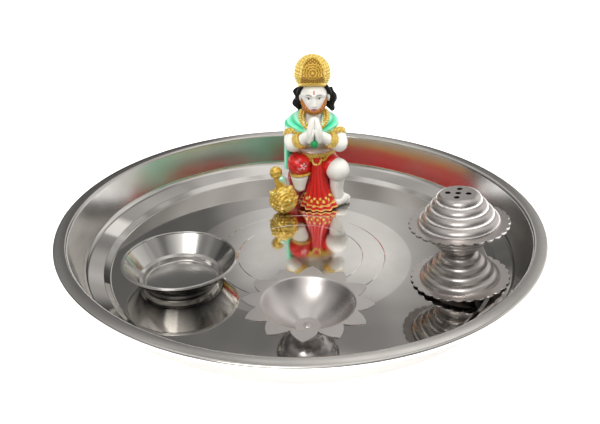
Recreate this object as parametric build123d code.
from build123d import *
import os
from math import asin, cos, degrees, radians, sin

os.makedirs("parts", exist_ok=True)

# Sizes in millimetres. The origin is under the middle of the plate, on the table.
# The plate is seen from -Y, so +X is to the viewer's right and +Y to the back.

# Clearances
rest_gap = 0.05
lean_gap = 0.15

# Tools: side of the blocks that cut forms off, and the share of a piece below which a loose bit is dropped
cut_size = 80.0
sliver_share = 0.05

# Plate: floor, riser, ledge, wall and lip, from the middle outwards
plate_sheet = 0.7
plate_floor_r = 101.3
plate_riser_w = 3.1
plate_riser_h = 2.3
plate_ledge_w = 9.1
plate_ledge_h = 3.6
plate_wall_w = 6.5
plate_wall_h = 18.1
plate_lip_w = 7.0
plate_curl_h = 2.2
plate_bends = [2.0, 1.5, 4.5, 2.0, 1.2]
plate_ring_radii = [34.0, 46.0]
plate_ring_w = 0.5
plate_ring_depth = 0.2

# Small bowl
katori_x = -61.6
katori_y = -25.3
katori_sheet = 0.6
katori_floor_r = 18.6
katori_foot_h = 3.2
katori_step_w = 2.4
katori_rim_r = 29.2
katori_height = 13.4
katori_bead_r = 0.75
katori_bends = [1.2, 0.5, 1.0]

# Oil lamp: the dome's corner is where its upper and lower sides would meet without the bend
diya_x = 3.0
diya_y = -85.3
diya_sheet = 0.6
diya_foot_r = 14.05
diya_dome_corner = (12.24, 6.7)
diya_neck_r = 5.8
diya_neck_z = 9.5
diya_seat_r = 5.2
diya_dome_h = 13.15
diya_dome_bends = [0.8, 1.2, 12.8]
diya_floor_r = 5.7
diya_bowl_depth = 12.5
diya_bowl_r = 20.4
diya_belly_r = 15.0
diya_belly_h = 5.4
diya_bowl_bends = [0.5, 9.0, 1.4]
diya_petal_tip_r = 29.0
diya_petal_side_r = 25.9
diya_petal_side_turn = 7.0
diya_petal_notch_r = 22.2
diya_petals = 12
diya_petal_turn = 10.0
diya_rivet_r = 1.2
diya_rivet_head_r = 2.0
diya_rivet_head_h = 0.7

# Incense stand: one ribbed pressing used as base, cup and cap
incense_from_middle = 86.2
incense_bearing = -19.1
incense_sheet = 0.5
incense_flange_r = 24.9
incense_notch_r = 23.7
incense_scallops = 28
incense_dome_r = 20.3
incense_ribs = 4
incense_rib_bulge = 0.75
incense_cup_h = 15.3
incense_neck_r = 7.4
incense_cap_h = 15.8
incense_cap_top_r = 8.8
incense_hole_r = 1.4
incense_hole_ring_r = 5.0
incense_ring_holes = 4
incense_rivet_r = 1.5
incense_rivet_head_r = 2.6
incense_rivet_head_h = 0.8

# Kneeling figure: x to the viewer's right of its axis, y to its back, z up from the plate's floor
figure_x = 9.0
figure_y = 67.0
torso_rings = [
    (29.0, (0, 1.5), 11.6, 8.6),
    (40.0, (0, 0.5), 11.4, 8.8),
    (50.0, (0, 0.5), 12.8, 8.8),
    (56.0, (0, 1.2), 9.6, 6.4),
    (59.0, (-0.2, -0.5), 5.2, 5.0),
    (64.0, (-0.3, -1.5), 4.4, 4.6),
]
chin_centre = (-0.2, -4.6, 64.6)
chin_r = 5.9
brow_centre = (-0.2, -3.4, 69.9)
brow_r = 7.7
ear_r = 2.2
ear_back = 1.6
crown_axis = (-0.9, -2.4)
crown_brim_z = 70.9
crown_brim_r = 8.4
crown_brim_h = 7.6
crown_brim_bulge = 0.7
crown_r = 10.6
crown_widest_h = 11.8
crown_tilt = -24.0
crown_side_z = 74.3
nape_centre = (-0.2, 2.2, 64.0)
nape_r = 6.4
lock_spread = (-8.9, 10.0)
lock_top = (1.0, 71.2)
lock_foot = (0.4, 62.6)
lock_r = 3.4
lock_top_r = 2.7
beard_depth = 0.9
beard_top_z = 65.6
beard_back_y = -2.6
necklace_centre = (-0.2, -5.2, 57.2)
necklace_r = 8.0
necklace_cord_r = 1.3
necklace_droop = 58.0
shawl_rings = [
    (46.5, (-0.6, 0.6), 15.4, 10.8),
    (51.5, (-0.6, 0.6), 17.0, 10.4),
    (55.2, (-0.7, 0.8), 13.6, 9.2),
    (58.4, (-0.7, 0.6), 9.0, 7.6),
    (60.0, (-0.6, 0.2), 6.8, 6.6),
]
shawl_opening_w = 14.0
shawl_opening_z = 46.0
shawl_tail_top = (-15.2, 3.0, 51.5)
shawl_tail_foot = (-15.7, 1.6, 21.8)
shawl_tail_w = 8.0
shawl_tail_t = 4.8
right_shoulder = (-12.4, 0.0, 49.8)
right_elbow = (-12.9, -8.6, 40.8)
right_wrist = (-4.0, -15.0, 49.0)
left_shoulder = (12.4, 0.0, 49.8)
left_elbow = (15.2, -8.6, 40.8)
left_wrist = (4.0, -15.0, 49.0)
shoulder_r = 4.6
elbow_r = 4.3
wrist_r = 3.1
hand_rings = [
    (46.0, (-0.1, -16.2), 4.4, 3.2),
    (51.5, (-0.1, -16.6), 4.6, 3.6),
    (56.5, (-0.1, -16.2), 3.5, 3.0),
    (60.2, (-0.1, -15.4), 1.9, 1.8),
]
bracelet_w = 5.6
bracelet_t = 1.0
bracelet_place = 0.52
armlet_w = 3.6
armlet_t = 0.7
armlet_place = 0.42
band_bulge = 1.6
knot_centre = (-0.2, -19.2, 45.0)
knot_r = 2.5
belt_centre = (0.0, 0.6, 35.8)
belt_radii = (13.0, 10.4)
belt_h = 6.4
belt_edge_r = 2.2
belt_droop = 7.0
pendant_centre = (1.2, -11.2, 30.6)
pendant_r = 2.6
seat_rings = [
    (0.0, (1.0, 6.0), 15.0, 11.5),
    (10.0, (0.5, 5.0), 16.4, 12.6),
    (24.0, (0.0, 3.0), 15.0, 11.2),
    (33.5, (0.0, 1.2), 12.4, 9.4),
]
right_hip = (-6.0, 0.0, 28.2)
right_knee = (-9.0, -7.6, 28.2)
left_hip = (6.0, 0.0, 27.5)
left_knee = (14.0, -8.6, 24.4)
left_thigh_end = (10.0, -5.0, 26.0)
hip_r = 8.0
right_thigh_end_r = 7.2
left_thigh_end_r = 6.8
kneecap_r = 7.2
cuff_centre = (-8.4, -9.0, 22.4)
cuff_r = 5.5
cuff_cord_r = 1.1
cuff_tilt = -6.0
right_shin_top = (-8.9, -9.2, 19.8)
right_shin_foot = (-9.1, -9.8, 14.2)
right_shin_r = 5.2
right_shin_foot_r = 3.4
left_shin_top_r = 5.0
left_ankle = (14.6, -6.4, 6.0)
ankle_r = 3.9
left_heel = (14.6, -8.0, 3.0)
left_toes = (19.8, -2.6, 3.0)
heel_r = 3.1
toes_r = 2.5
pleats = 9
pleat_half_sweep = 74.0
pleat_top_centre = (2.0, -7.2, 31.0)
pleat_top_radii = (3.2, 3.2)
pleat_foot_centre = (3.2, -6.4, 2.4)
pleat_foot_radii = (10.8, 9.0)
pleat_top_r = 1.6
pleat_foot_r = 2.2
gada_centre = (-18.7, -16.2, 8.8)
gada_r = 8.7
gada_band_r = 0.75
gada_studs = 8
gada_stud_r = 1.25
gada_stud_height = 48.0
gada_knob_centre = (-23.0, -11.6, 24.2)
gada_knob_r = 4.0
gada_neck_r = 2.3

# Worked-out places
floor_z = plate_sheet
riser_r = plate_floor_r + plate_riser_w
riser_z = floor_z + plate_riser_h
ledge_r = riser_r + plate_ledge_w
ledge_z = riser_z + plate_ledge_h
wall_r = ledge_r + plate_wall_w
lip_z = ledge_z + plate_wall_h
rim_r = wall_r + plate_lip_w


def pressed(profile, sheet):
    """Sheet metal of even thickness under an open profile, turned about Z."""
    wall = offset(profile, amount=sheet, side=Side.RIGHT)
    return revolve(Plane.XZ * make_face(wall), Axis.Z)


def turned(outline):
    """Closed outline in the XZ plane, turned about Z."""
    return revolve(Plane.XZ * make_face(outline), Axis.Z)


def polar(radius, angle):
    """Point on a circle about the origin."""
    return (radius * cos(radians(angle)), radius * sin(radians(angle)))


def scalloped(tip_r, notch_r, count, height):
    """Prism whose outline is a ring of equal lobes, each an arc from notch to notch over its tip."""
    pitch = 360 / count
    lobes = []
    for i in range(count):
        start = polar(notch_r, i * pitch)
        tip = polar(tip_r, (i + 0.5) * pitch)
        end = polar(notch_r, (i + 1) * pitch)
        lobes.append(ThreePointArc(start, tip, end))
    return extrude(make_face(lobes), height)


def petalled(height):
    """Prism whose outline is the lamp's ring of pointed petals, each of two arcs from its notches to its tip."""
    pitch = 360 / diya_petals
    sides = []
    for i in range(diya_petals):
        tip = polar(diya_petal_tip_r, (i + 0.5) * pitch)
        for notch_angle, turn in ((i * pitch, diya_petal_side_turn), ((i + 1) * pitch, -diya_petal_side_turn)):
            middle = polar(diya_petal_side_r, notch_angle + turn)
            sides.append(ThreePointArc(polar(diya_petal_notch_r, notch_angle), middle, tip))
    return extrude(make_face(sides), height)


def rivet(shank_r, grip, head_r, head_h):
    """Shank along Z from 0 to the grip, with a domed head at each end."""
    dome_r = (head_r**2 + head_h**2) / (2 * head_h)
    half_way = asin(head_r / dome_r) / 2
    middle = (dome_r * sin(half_way), head_h - dome_r + dome_r * cos(half_way))
    dome = ThreePointArc((0, head_h), middle, (head_r, 0))
    upper = turned(dome + Line((head_r, 0), (0, 0)) + Line((0, 0), (0, head_h)))
    shank = Cylinder(shank_r, grip, align=(Align.CENTER, Align.CENTER, Align.MIN))
    return shank + Pos(0, 0, grip) * upper + mirror(upper, Plane.XY)


def lofted(rings):
    """Smooth loft through level ellipses, each given by its height, middle and two radii."""
    return loft([Pos(x, y, z) * Ellipse(rx, ry) for z, (x, y), rx, ry in rings])


def ball(centre, radius):
    """Ball about a point."""
    return Pos(*centre) * Sphere(radius)


def limb(start, end, start_r, end_r):
    """Tapered limb with round ends: the hull of two balls, turned about the line between them."""
    along = Vector(*end) - Vector(*start)
    length = along.length
    lean = asin((start_r - end_r) / length)
    low = (lean - radians(90)) / 2
    high = (lean + radians(90)) / 2
    foot = (start_r * cos(lean), start_r * sin(lean))
    top = (end_r * cos(lean), length + end_r * sin(lean))
    outline = ThreePointArc((0, -start_r), (start_r * cos(low), start_r * sin(low)), foot)
    outline += Line(foot, top)
    outline += ThreePointArc(top, (end_r * cos(high), length + end_r * sin(high)), (0, length + end_r))
    outline += Line((0, length + end_r), (0, -start_r))
    return Plane(origin=start, z_dir=along) * turned(outline)


def limb_band(start, end, start_r, end_r, place, width, thickness):
    """Barrel-shaped band round a limb, at a share of the way from its start to its end."""
    along = Vector(*end) - Vector(*start)
    radius = start_r + (end_r - start_r) * place
    bulge = ThreePointArc((radius, -width / 2), (radius + thickness * band_bulge, 0), (radius, width / 2))
    inside = Polyline((radius, width / 2), (radius - thickness, width / 2),
                      (radius - thickness, -width / 2), (radius, -width / 2))
    return Plane(origin=Vector(*start) + along * place, z_dir=along) * turned(bulge + inside)


def boxes_meet(first, second):
    """True where the boxes round two forms touch or cross."""
    a, b = first.bounding_box(optimal=False), second.bounding_box(optimal=False)
    spans = zip(a.min, a.max, b.min, b.max)
    return all(low_a <= high_b and low_b <= high_a for low_a, high_a, low_b, high_b in spans)


def trimmed(piece, *others):
    """Piece cut back to the faces of its larger neighbours, without loose slivers."""
    for other in others:
        if boxes_meet(piece, other):
            piece = piece - other
    largest = max(solid.volume for solid in piece.solids())
    return Compound([solid for solid in piece.solids() if solid.volume > largest * sliver_share])


# Plate
plate_profile = FilletPolyline((0, floor_z), (plate_floor_r, floor_z), (riser_r, riser_z), (ledge_r, ledge_z),
                               (wall_r, lip_z), (rim_r, lip_z), (rim_r, lip_z - plate_curl_h),
                               radius=plate_bends)
thali_plate = pressed(plate_profile, plate_sheet)
for ring_r in plate_ring_radii:
    groove = Polyline((ring_r - plate_ring_w / 2, floor_z), (ring_r, floor_z - plate_ring_depth),
                      (ring_r + plate_ring_w / 2, floor_z), close=True)
    thali_plate -= turned(groove)

# Small bowl
katori_step_r = katori_floor_r + katori_step_w
katori_profile = FilletPolyline((0, katori_sheet), (katori_floor_r, katori_sheet),
                                (katori_floor_r + katori_sheet, katori_foot_h),
                                (katori_step_r, katori_foot_h + katori_sheet),
                                (katori_rim_r - katori_bead_r, katori_height - katori_bead_r),
                                radius=katori_bends)
bead_centre = (katori_rim_r - katori_bead_r, katori_height - katori_bead_r)
bead = revolve(Plane.XZ * (Pos(*bead_centre) * Circle(katori_bead_r)), Axis.Z)
katori_place = Pos(katori_x, katori_y, floor_z + rest_gap)
katori_bowl = katori_place * (pressed(katori_profile, katori_sheet) + bead)

# Oil lamp: domed foot, bowl with petals, and the rivet through both
dome_profile = FilletPolyline((0, diya_dome_h), (diya_seat_r, diya_dome_h), (diya_neck_r, diya_neck_z),
                              diya_dome_corner, (diya_foot_r, 0), radius=diya_dome_bends)
diya_place = Pos(diya_x, diya_y, floor_z + rest_gap)
dome = pressed(dome_profile, diya_sheet)
foot_trim = Cylinder(2 * diya_foot_r, diya_sheet, align=(Align.CENTER, Align.CENTER, Align.MAX))
bowl_floor_z = diya_dome_h + diya_sheet
flange_z = bowl_floor_z + diya_bowl_depth
bowl_profile = FilletPolyline((0, bowl_floor_z), (diya_floor_r, bowl_floor_z),
                              (diya_belly_r, bowl_floor_z + diya_belly_h), (diya_bowl_r, flange_z),
                              (diya_petal_tip_r, flange_z), radius=diya_bowl_bends)
petals = Rot(0, 0, diya_petal_turn) * petalled(flange_z + diya_sheet)
bowl = pressed(bowl_profile, diya_sheet) & petals
rivet_hole = Cylinder(diya_rivet_r, 2 * flange_z)
diya_grip = 2 * diya_sheet
diya_base = diya_place * (dome - rivet_hole - foot_trim)
diya_bowl = diya_place * (bowl - rivet_hole)
diya_rivet_place = diya_place * Pos(0, 0, diya_dome_h - diya_sheet)
diya_rivet = diya_rivet_place * rivet(diya_rivet_r, diya_grip, diya_rivet_head_r, diya_rivet_head_h)


def ribbed_pressing(height, top_r):
    """Stepped dome of round ribs with a scalloped flange at z = 0, its flat top at the height."""
    profile = Line((0, height), (top_r, height))
    step_r = (incense_dome_r - top_r) / incense_ribs
    step_h = (height - incense_sheet) / incense_ribs
    out = Vector(step_h, step_r).normalized() * incense_rib_bulge
    for i in range(incense_ribs):
        start = (top_r + i * step_r, height - i * step_h)
        end = (start[0] + step_r, start[1] - step_h)
        middle = (start[0] + step_r / 2 + out.X, start[1] - step_h / 2 + out.Y)
        profile += ThreePointArc(start, middle, end)
    profile += Line((incense_dome_r, incense_sheet), (incense_flange_r, incense_sheet))
    edge = scalloped(incense_flange_r, incense_notch_r, incense_scallops, height)
    return pressed(profile, incense_sheet) & edge


# Incense stand: its flange rests on the floor at one side and on the ledge at the other, so it leans inwards
flange_out_r = incense_from_middle + incense_flange_r
ledge_under_flange = riser_z + plate_ledge_h * (flange_out_r - riser_r) / plate_ledge_w
incense_lean = degrees(asin((ledge_under_flange - floor_z) / (2 * incense_flange_r)))
incense_centre_z = (floor_z + ledge_under_flange) / 2 + lean_gap
incense_place = (Rot(0, 0, incense_bearing) * Pos(incense_from_middle, 0, incense_centre_z)
                 * Rot(0, -incense_lean, 0))
incense_pressing = ribbed_pressing(incense_cup_h, incense_neck_r)
neck_hole = Cylinder(incense_rivet_r, 4 * incense_cup_h)
incense_base = incense_place * (incense_pressing - neck_hole)
cup_place = incense_place * Pos(0, 0, 2 * incense_cup_h)
incense_cup = cup_place * (mirror(incense_pressing, Plane.XY) - neck_hole)
incense_rivet_place = incense_place * Pos(0, 0, incense_cup_h - incense_sheet)
incense_rivet = incense_rivet_place * rivet(incense_rivet_r, 2 * incense_sheet, incense_rivet_head_r,
                                            incense_rivet_head_h)
cap_holes = [Pos(0, 0, incense_cap_h) * Cylinder(incense_hole_r, 4 * incense_sheet)]
for i in range(incense_ring_holes):
    x, y = polar(incense_hole_ring_r, 360 * i / incense_ring_holes)
    cap_holes.append(Pos(x, y, incense_cap_h) * Cylinder(incense_hole_r, 4 * incense_sheet))
cap_place = cup_place * Pos(0, 0, rest_gap)
incense_cap = cap_place * (ribbed_pressing(incense_cap_h, incense_cap_top_r) - cap_holes)

# Figure, from the largest forms to the smallest: each is cut back to the faces of those before it
figure_torso = lofted(torso_rings)
seat = lofted(seat_rings)
thighs = [limb(right_hip, right_knee, hip_r, right_thigh_end_r),
          limb(left_hip, left_thigh_end, hip_r, left_thigh_end_r)]
left_kneecap = ball(left_knee, kneecap_r)
dhoti = trimmed(seat + thighs, figure_torso, left_kneecap)

skull = limb(chin_centre, brow_centre, chin_r, brow_r)
brow_x, brow_y, brow_z = brow_centre
ears = [ball((brow_x + side * brow_r, brow_y + ear_back, brow_z), ear_r) for side in (-1, 1)]
figure_head = trimmed(skull + ears, figure_torso)

below_floor = Box(cut_size, cut_size, cut_size, align=(Align.CENTER, Align.CENTER, Align.MAX))

crown_widest_z = crown_brim_z + crown_widest_h
crown_top_z = crown_widest_z + crown_r
crown_shoulder = (crown_r * cos(radians(45)), crown_widest_z + crown_r * sin(radians(45)))
crown_outline = Polyline((0, crown_brim_z), (crown_brim_r, crown_brim_z),
                         (crown_brim_r + crown_brim_bulge, crown_brim_z + crown_brim_h / 2),
                         (crown_brim_r, crown_brim_z + crown_brim_h))
crown_outline += Line((crown_brim_r, crown_brim_z + crown_brim_h), (crown_r, crown_widest_z))
crown_outline += ThreePointArc((crown_r, crown_widest_z), crown_shoulder, (0, crown_top_z))
crown_outline += Line((0, crown_top_z), (0, crown_brim_z))
below_brim = Pos(*crown_axis, crown_side_z) * Rot(crown_tilt, 0, 0) * below_floor
crown = trimmed(Pos(*crown_axis, 0) * turned(crown_outline), below_brim, figure_head)

left_shin = limb(left_knee, left_ankle, left_shin_top_r, ankle_r)
left_foot = limb(left_heel, left_toes, heel_r, toes_r)
leg_left = trimmed(left_kneecap + left_shin + left_foot, seat, below_floor, dhoti)
right_shin = limb(right_shin_top, right_shin_foot, right_shin_r, right_shin_foot_r)
leg_right = trimmed(right_shin, below_floor, dhoti)


def pleat(share):
    """One fold of the front cloth, from the waist to the hem, at a share of the fan."""
    angle = radians(pleat_half_sweep * (2 * share - 1))
    (tx, ty, tz), (fx, fy, fz) = pleat_top_centre, pleat_foot_centre
    top = (tx + pleat_top_radii[0] * sin(angle), ty - pleat_top_radii[1] * cos(angle), tz)
    foot = (fx + pleat_foot_radii[0] * sin(angle), fy - pleat_foot_radii[1] * cos(angle), fz)
    return limb(foot, top, pleat_foot_r, pleat_top_r)


cloth_core = lofted([
    (0.0, pleat_foot_centre[:2], pleat_foot_radii[0], pleat_foot_radii[1]),
    (pleat_top_centre[2], pleat_top_centre[:2], pleat_top_radii[0], pleat_top_radii[1]),
])
folds = [pleat(i / (pleats - 1)) for i in range(pleats)]
front_cloth = trimmed(cloth_core + folds, below_floor, dhoti, leg_left, leg_right, figure_torso)

cape = lofted(shawl_rings)
opening = Polyline((0, shawl_opening_z), (shawl_opening_w / 2, shawl_rings[-1][0]),
                   (-shawl_opening_w / 2, shawl_rings[-1][0]), close=True)
neckline = extrude(Plane.XZ * make_face(opening), cut_size / 2)
tail_rings = []
for x, y, z in (shawl_tail_foot, shawl_tail_top):
    tail_rings.append((z, (x, y), shawl_tail_t / 2, shawl_tail_w / 2))
shawl = trimmed(cape + lofted(tail_rings), neckline, figure_torso, figure_head, dhoti)

hands = lofted(hand_rings)


def arm(shoulder, elbow, wrist):
    """Upper arm and forearm that share a round elbow."""
    upper = limb(shoulder, elbow, shoulder_r, elbow_r)
    fore = limb(elbow, wrist, elbow_r, wrist_r)
    return trimmed(upper + fore, figure_torso, shawl, hands, dhoti)


arm_right = arm(right_shoulder, right_elbow, right_wrist)
arm_left = arm(left_shoulder, left_elbow, left_wrist)
hands = trimmed(hands, figure_torso)

arms = [arm_right, arm_left]
forearms = [(right_elbow, right_wrist), (left_elbow, left_wrist)]
upper_arms = [(right_shoulder, right_elbow), (left_shoulder, left_elbow)]
bracelets = [limb_band(elbow, wrist, elbow_r, wrist_r, bracelet_place, bracelet_w, bracelet_t)
             for elbow, wrist in forearms]
bracelets = trimmed(Part() + bracelets, figure_torso, shawl, *arms, hands)
armlets = [limb_band(shoulder, elbow, shoulder_r, elbow_r, armlet_place, armlet_w, armlet_t)
           for shoulder, elbow in upper_arms]
armlets = trimmed(Part() + armlets, figure_torso, shawl, *arms, bracelets)
sash_knot = trimmed(ball(knot_centre, knot_r), *arms, hands)

nape = limb(nape_centre, (brow_x, brow_y + brow_r / 2, brow_z), nape_r, brow_r)
locks = []
for x in lock_spread:
    top, foot = [(x, y, z) for y, z in (lock_top, lock_foot)]
    locks.append(limb(foot, top, lock_r, lock_top_r))
hair = trimmed(nape + locks, figure_head, crown, figure_torso, shawl)

beard = limb(chin_centre, brow_centre, chin_r + beard_depth, brow_r + beard_depth)
jaw_cut = Box(cut_size, cut_size, cut_size, align=(Align.CENTER, Align.MIN, Align.MIN))
above_jaw = Pos(0, -cut_size / 2, beard_top_z) * jaw_cut
behind_jaw = Pos(0, beard_back_y, beard_top_z - cut_size / 2) * jaw_cut
beard = trimmed(beard, above_jaw, behind_jaw, figure_head, figure_torso, shawl, hair)

necklace = Pos(*necklace_centre) * Rot(necklace_droop, 0, 0) * Torus(necklace_r, necklace_cord_r)
necklace = trimmed(necklace, figure_torso, figure_head, beard, hair, shawl, hands)

girdle = extrude(Ellipse(*belt_radii), belt_h / 2, both=True)
girdle = fillet(girdle.edges(), belt_edge_r)
belt = Pos(*belt_centre) * Rot(belt_droop, 0, 0) * girdle + ball(pendant_centre, pendant_r)
belt = trimmed(belt, front_cloth, figure_torso, dhoti, shawl)

# Mace: a banded ball with a ring of studs, on a short neck with a knob
gada_along = Vector(*gada_knob_centre) - Vector(*gada_centre)
gada_frame = Plane(origin=gada_centre, z_dir=gada_along)
banded_ball = Sphere(gada_r) + Torus(gada_r, gada_band_r)
stud_ring_r = gada_r * cos(radians(gada_stud_height))
stud_ring_z = gada_r * sin(radians(gada_stud_height))
studs = []
for i in range(gada_studs):
    x, y = polar(stud_ring_r, 360 * i / gada_studs)
    studs.append(Pos(x, y, stud_ring_z) * Sphere(gada_stud_r))
mace_ball = gada_frame * (banded_ball + studs)
gada_head = trimmed(mace_ball, below_floor, leg_right, front_cloth, dhoti)
gada_neck = limb(gada_centre, gada_knob_centre, gada_neck_r, gada_neck_r)
gada_shaft = trimmed(gada_neck + ball(gada_knob_centre, gada_knob_r), mace_ball, shawl, arm_right, dhoti)

cuff = Pos(*cuff_centre) * Rot(cuff_tilt, 0, 0) * Torus(cuff_r, cuff_cord_r)
thigh_cuff = trimmed(cuff, dhoti, leg_right, front_cloth, figure_torso, gada_head, gada_shaft)

# Every piece, in the place where it stands on the plate
figure_place = Pos(figure_x, figure_y, floor_z + rest_gap)
pieces = {
    "thali_plate": thali_plate,
    "katori_bowl": katori_bowl,
    "diya_base": diya_base,
    "diya_bowl": diya_bowl,
    "diya_rivet": diya_rivet,
    "incense_base": incense_base,
    "incense_cup": incense_cup,
    "incense_rivet": incense_rivet,
    "incense_cap": incense_cap,
}
figure_pieces = {
    "figure_torso": figure_torso,
    "figure_head": figure_head,
    "crown": crown,
    "hair": hair,
    "beard": beard,
    "necklace": necklace,
    "shawl": shawl,
    "arm_right": arm_right,
    "arm_left": arm_left,
    "hands": hands,
    "bracelets": bracelets,
    "armlets": armlets,
    "sash_knot": sash_knot,
    "belt": belt,
    "dhoti": dhoti,
    "thigh_cuff": thigh_cuff,
    "front_cloth": front_cloth,
    "leg_right": leg_right,
    "leg_left": leg_left,
    "gada_head": gada_head,
    "gada_shaft": gada_shaft,
}
for name, piece in figure_pieces.items():
    pieces[name] = figure_place * piece
for name, piece in pieces.items():
    export_step(piece, f"parts/{name}.step")
